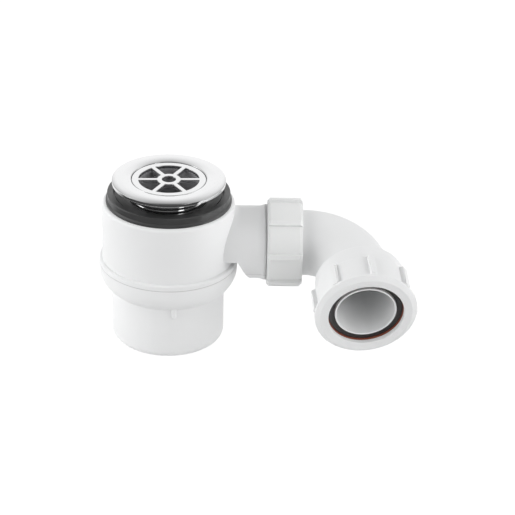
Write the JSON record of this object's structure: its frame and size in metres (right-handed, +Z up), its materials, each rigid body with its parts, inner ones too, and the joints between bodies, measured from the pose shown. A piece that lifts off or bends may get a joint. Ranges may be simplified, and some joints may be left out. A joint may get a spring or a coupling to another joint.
{
  "type": "shower trap",
  "caption": "Bottle-type shower waste trap: bright flange and strainer grid over a white body and cup with a dip tube inside, and a swivelling elbow outlet held by ribbed compression nuts.",
  "frame": {"origin": "centre of the cup's flat foot", "axes": "+Z up along the inlet, +X along the outlet neck; the elbow's far end points to -Y, the picture's viewer, and a little down"},
  "size_m": [0.195, 0.1133, 0.1083],
  "materials": {
    "white_plastic": "satin moulded",
    "milky_plastic": "satin moulded",
    "dark_plastic": "matte",
    "bright_metal": "mirror plated",
    "black_rubber": "matte",
    "red_plastic": "matte"
  },
  "bodies": {
    "housing": {"trap_body": "white_plastic", "trap_cup": "white_plastic", "tray_washer": "black_rubber", "union_seal": "black_rubber"},
    "insert": {"grid": "bright_metal", "dip_tube": "dark_plastic", "insert_seal": "black_rubber"},
    "flange": {"flange": "bright_metal"},
    "union_slip": {"union_slip_washer": "red_plastic"},
    "union_nut": {"union_nut": "milky_plastic"},
    "elbow": {"elbow": "white_plastic", "outlet_seal": "black_rubber"},
    "outlet_slip": {"outlet_slip_washer": "red_plastic"},
    "outlet_nut": {"outlet_nut": "white_plastic"}
  },
  "joints": [
    {"name": "insert_lift", "type": "slide", "parent": "housing", "child": "insert", "axis": [0, 0, 1], "range_m": [-0.00578, 0.00925]},
    {"name": "flange_turn", "type": "hinge", "parent": "insert", "child": "flange", "pos_m": [0, 0, 0.105], "axis": [0, 0, 1], "range_deg": [-900, 1440]},
    {"name": "union_slip_slide", "type": "slide", "parent": "housing", "child": "union_slip", "axis": [1, 0, 0], "range_m": [0, 0.00463]},
    {"name": "union_nut_turn", "type": "hinge", "parent": "union_slip", "child": "union_nut", "pos_m": [0.0827, 0, 0.0647], "axis": [1, 0, 0], "range_deg": [0, 720]},
    {"name": "elbow_swivel", "type": "hinge", "parent": "housing", "child": "elbow", "pos_m": [0.0842, 0, 0.0647], "axis": [1, 0, 0], "continuous": true},
    {"name": "outlet_slip_slide", "type": "slide", "parent": "elbow", "child": "outlet_slip", "axis": [0.1115, -0.963, -0.2455], "range_m": [0, 0.01386]},
    {"name": "outlet_nut_turn", "type": "hinge", "parent": "outlet_slip", "child": "outlet_nut", "pos_m": [0.12095, -0.06294, 0.04866], "axis": [0.1115, -0.963, -0.2455], "range_deg": [0, 2160]}
  ],
  "couplings": [
    {"joint": "insert_lift", "follows": "flange_turn", "m_per_rad": 0.00036749},
    {"joint": "union_slip_slide", "follows": "union_nut_turn", "m_per_rad": 0.00036749},
    {"joint": "outlet_slip_slide", "follows": "outlet_nut_turn", "m_per_rad": 0.00036749}
  ]
}
